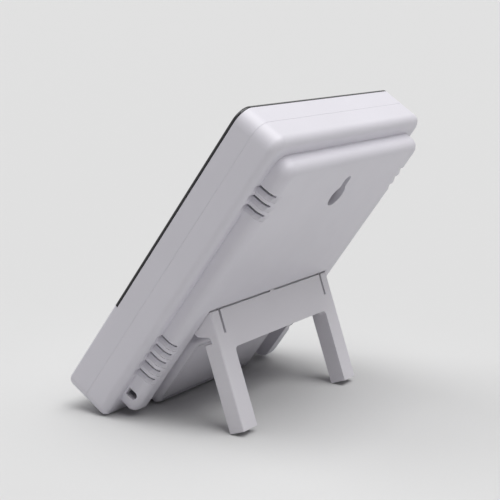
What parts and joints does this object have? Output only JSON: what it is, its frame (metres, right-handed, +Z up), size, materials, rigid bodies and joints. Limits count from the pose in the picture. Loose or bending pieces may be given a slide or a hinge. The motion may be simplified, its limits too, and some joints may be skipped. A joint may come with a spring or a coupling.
{
  "type": "digital thermo-hygrometer",
  "caption": "Desktop digital temperature and humidity meter leaning on its fold-out stand, with a flat display in front, keys below it, side vents, a wall hanging hole and a battery cover.",
  "frame": {"origin": "on the ground, in the middle of the overall box", "axes": "+Z up, the display faces -Y, the stand and the back face +Y, and X runs across the display"},
  "size_m": [0.1, 0.0704, 0.0999],
  "materials": {
    "white_case": "fine moulded texture",
    "white_stand": "fine moulded texture",
    "white_keys": "satin",
    "black_lens": "polished",
    "tape": "matt",
    "display_glass": "polished",
    "reflector_foil": "satin",
    "frame_plastic": "matt",
    "strip_rubber": "matt",
    "board": "satin",
    "chip_black": "matt",
    "can_metal": "satin",
    "chip_ceramic": "matt",
    "sensor_white": "matt",
    "bead_epoxy": "gloss",
    "switch_black": "matt",
    "cell_wrap": "gloss",
    "contact_metal": "satin",
    "red_wire": "satin",
    "black_wire": "satin",
    "screw_steel": "satin"
  },
  "bodies": {
    "case": {"front_shell": "white_case", "rear_shell": "white_case", "display_lens": "black_lens", "lens_tape": "tape", "lcd_panel": "display_glass", "lcd_reflector": "reflector_foil", "lcd_frame": "frame_plastic", "zebra_connector": "strip_rubber", "main_pcb": "board", "controller_chip": "chip_black", "watch_crystal": "can_metal", "chip_parts": "chip_ceramic", "humidity_sensor": "sensor_white", "thermistor": "bead_epoxy", "key_switches": "switch_black", "battery_upper": "cell_wrap", "battery_lower": "cell_wrap", "negative_contact": "contact_metal", "positive_contact": "contact_metal", "bridge_contact": "contact_metal", "red_lead": "red_wire", "black_lead": "black_wire", "case_screws": "screw_steel", "pcb_screws": "screw_steel"},
    "stand": {"stand": "white_stand"},
    "cover": {"battery_cover": "white_case"},
    "left_key": {"button_left": "white_keys"},
    "middle_key": {"button_middle": "white_keys"},
    "right_key": {"button_right": "white_keys"}
  },
  "joints": [
    {"name": "stand_fold", "type": "hinge", "parent": "case", "child": "stand", "pos_m": [0, 0.00438, 0.03708], "axis": [-1, 0, 0], "range_deg": [0, 53.8]},
    {"name": "cover_open", "type": "hinge", "parent": "case", "child": "cover", "pos_m": [0, -0.01522, 0.00252], "axis": [-1, 0, 0], "range_deg": [0, 45]},
    {"name": "left_key_press", "type": "slide", "parent": "case", "child": "left_key", "axis": [0, 0.8526, -0.5225], "range_m": [0, 0.0005], "stiffness_N_per_m": 600},
    {"name": "middle_key_press", "type": "slide", "parent": "case", "child": "middle_key", "axis": [0, 0.8526, -0.5225], "range_m": [0, 0.0005], "stiffness_N_per_m": 600},
    {"name": "right_key_press", "type": "slide", "parent": "case", "child": "right_key", "axis": [0, 0.8526, -0.5225], "range_m": [0, 0.0005], "stiffness_N_per_m": 600}
  ]
}
